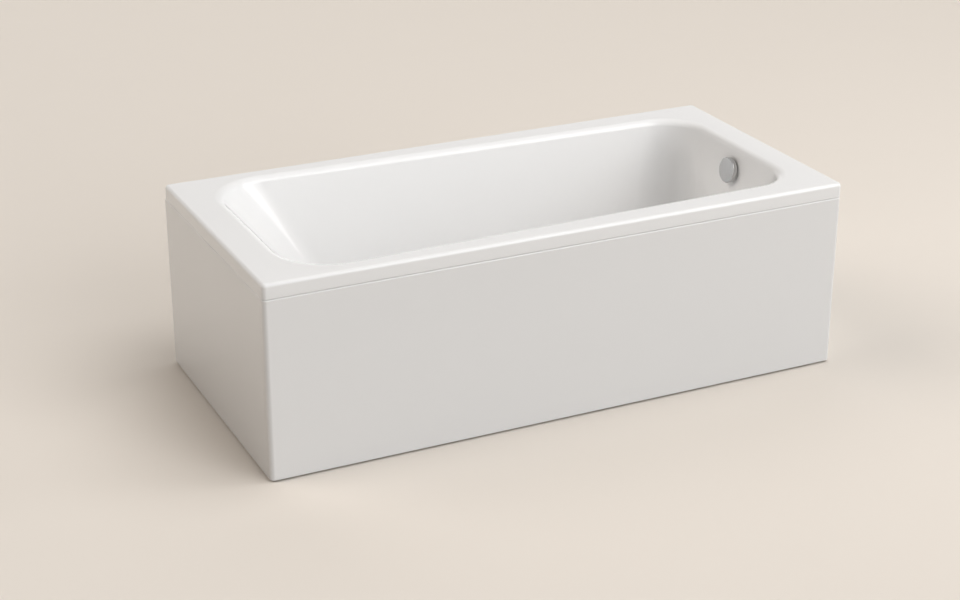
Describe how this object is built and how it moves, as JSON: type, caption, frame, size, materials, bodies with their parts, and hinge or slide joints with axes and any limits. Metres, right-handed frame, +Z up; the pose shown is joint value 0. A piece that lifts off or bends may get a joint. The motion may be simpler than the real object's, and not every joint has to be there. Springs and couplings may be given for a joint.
{
  "type": "rectangular bathtub",
  "caption": "Rectangular acrylic bathtub with a sloping backrest, a turning overflow knob that lifts the plug, clip-on panels and an adjustable leg frame.",
  "frame": {"origin": "centre of the bath's footprint, on the floor that the leg pads stand on", "axes": "+X along the bath from the sloping head end to the foot end with the overflow knob, +Y from the panelled front towards the wall, +Z up"},
  "size_m": [1.7, 0.8, 0.545],
  "materials": {
    "acrylic_white": "gloss white cast acrylic",
    "acrylic_panel": "gloss white acrylic sheet",
    "timber_board": "raw chipboard",
    "timber_batten": "raw planed softwood",
    "galvanized_steel": "galvanized",
    "zinc_steel": "bright zinc plated",
    "magnet_nickel": "nickel plated",
    "chrome": "polished chrome",
    "brass": "turned brass",
    "plastic_white": "moulded white",
    "plastic_ivory": "moulded ivory",
    "plastic_hose": "ribbed light grey",
    "plastic_black": "moulded black",
    "rubber_dark": "matt"
  },
  "bodies": {
    "tub": {"tub_shell": "acrylic_white", "base_board": "timber_board", "rim_batten_front": "timber_batten", "rim_batten_back": "timber_batten", "rim_batten_head": "timber_batten", "rim_batten_foot": "timber_batten", "cradle_head": "galvanized_steel", "cradle_foot": "galvanized_steel", "cradle_screws": "zinc_steel", "leg_nuts": "zinc_steel", "wall_bracket_head": "galvanized_steel", "wall_bracket_foot": "galvanized_steel", "waste_flange": "chrome", "waste_flange_seal": "rubber_dark", "waste_seal": "rubber_dark", "waste_housing": "plastic_white", "trap_cup": "plastic_white", "drain_pipe": "plastic_white", "drain_nut": "plastic_black", "overflow_flange": "chrome", "overflow_flange_seal": "rubber_dark", "overflow_gasket": "rubber_dark", "overflow_elbow": "plastic_white", "overflow_hose": "plastic_hose", "hose_nut_top": "plastic_black", "hose_nut_bottom": "plastic_black", "cable_casing": "plastic_black", "head_panel": "acrylic_panel", "foot_panel": "acrylic_panel", "panel_clips": "plastic_black", "clip_screws": "zinc_steel", "catch_arms": "galvanized_steel", "catch_magnets": "magnet_nickel", "panel_packers": "timber_batten", "packer_screws": "zinc_steel", "head_stay": "galvanized_steel", "foot_stay": "galvanized_steel", "stay_bolts": "zinc_steel"},
    "knob": {"overflow_knob": "chrome", "knob_spindle": "brass", "cable_cam": "plastic_ivory"},
    "wedge": {"lift_wedge": "plastic_ivory"},
    "pin": {"lift_pin": "zinc_steel"},
    "plug": {"plug": "chrome", "plug_seal": "rubber_dark"},
    "front_panel": {"front_panel": "acrylic_panel", "keeper_plates": "zinc_steel"},
    "leg_head_front": {"leg_stud_head_front": "zinc_steel", "foot_pad_head_front": "plastic_black"},
    "leg_head_back": {"leg_stud_head_back": "zinc_steel", "foot_pad_head_back": "plastic_black"},
    "leg_foot_front": {"leg_stud_foot_front": "zinc_steel", "foot_pad_foot_front": "plastic_black"},
    "leg_foot_back": {"leg_stud_foot_back": "zinc_steel", "foot_pad_foot_back": "plastic_black"}
  },
  "joints": [
    {"name": "knob_turn", "type": "hinge", "parent": "tub", "child": "knob", "pos_m": [0.74438, 0, 0.472], "axis": [-0.9903, 0, 0.1386], "range_deg": [0, 90]},
    {"name": "wedge_push", "type": "slide", "parent": "tub", "child": "wedge", "axis": [0, 1, 0], "range_m": [0, 0.012]},
    {"name": "pin_lift", "type": "slide", "parent": "tub", "child": "pin", "axis": [0, 0, 1], "range_m": [0, 0.012]},
    {"name": "plug_pull", "type": "slide", "parent": "pin", "child": "plug", "axis": [0, 0, 1], "range_m": [0, 0.06]},
    {"name": "front_panel_pull", "type": "slide", "parent": "tub", "child": "front_panel", "axis": [0, -1, 0], "range_m": [0, 0.3]},
    {"name": "leg_head_front_adjust", "type": "slide", "parent": "tub", "child": "leg_head_front", "axis": [0, 0, -1], "range_m": [-0.006, 0.02]},
    {"name": "leg_head_back_adjust", "type": "slide", "parent": "tub", "child": "leg_head_back", "axis": [0, 0, -1], "range_m": [-0.006, 0.02]},
    {"name": "leg_foot_front_adjust", "type": "slide", "parent": "tub", "child": "leg_foot_front", "axis": [0, 0, -1], "range_m": [-0.006, 0.02]},
    {"name": "leg_foot_back_adjust", "type": "slide", "parent": "tub", "child": "leg_foot_back", "axis": [0, 0, -1], "range_m": [-0.006, 0.02]}
  ],
  "couplings": [
    {"joint": "wedge_push", "follows": "knob_turn", "m_per_rad": 0.0076394},
    {"joint": "pin_lift", "follows": "knob_turn", "m_per_rad": 0.0076394}
  ]
}
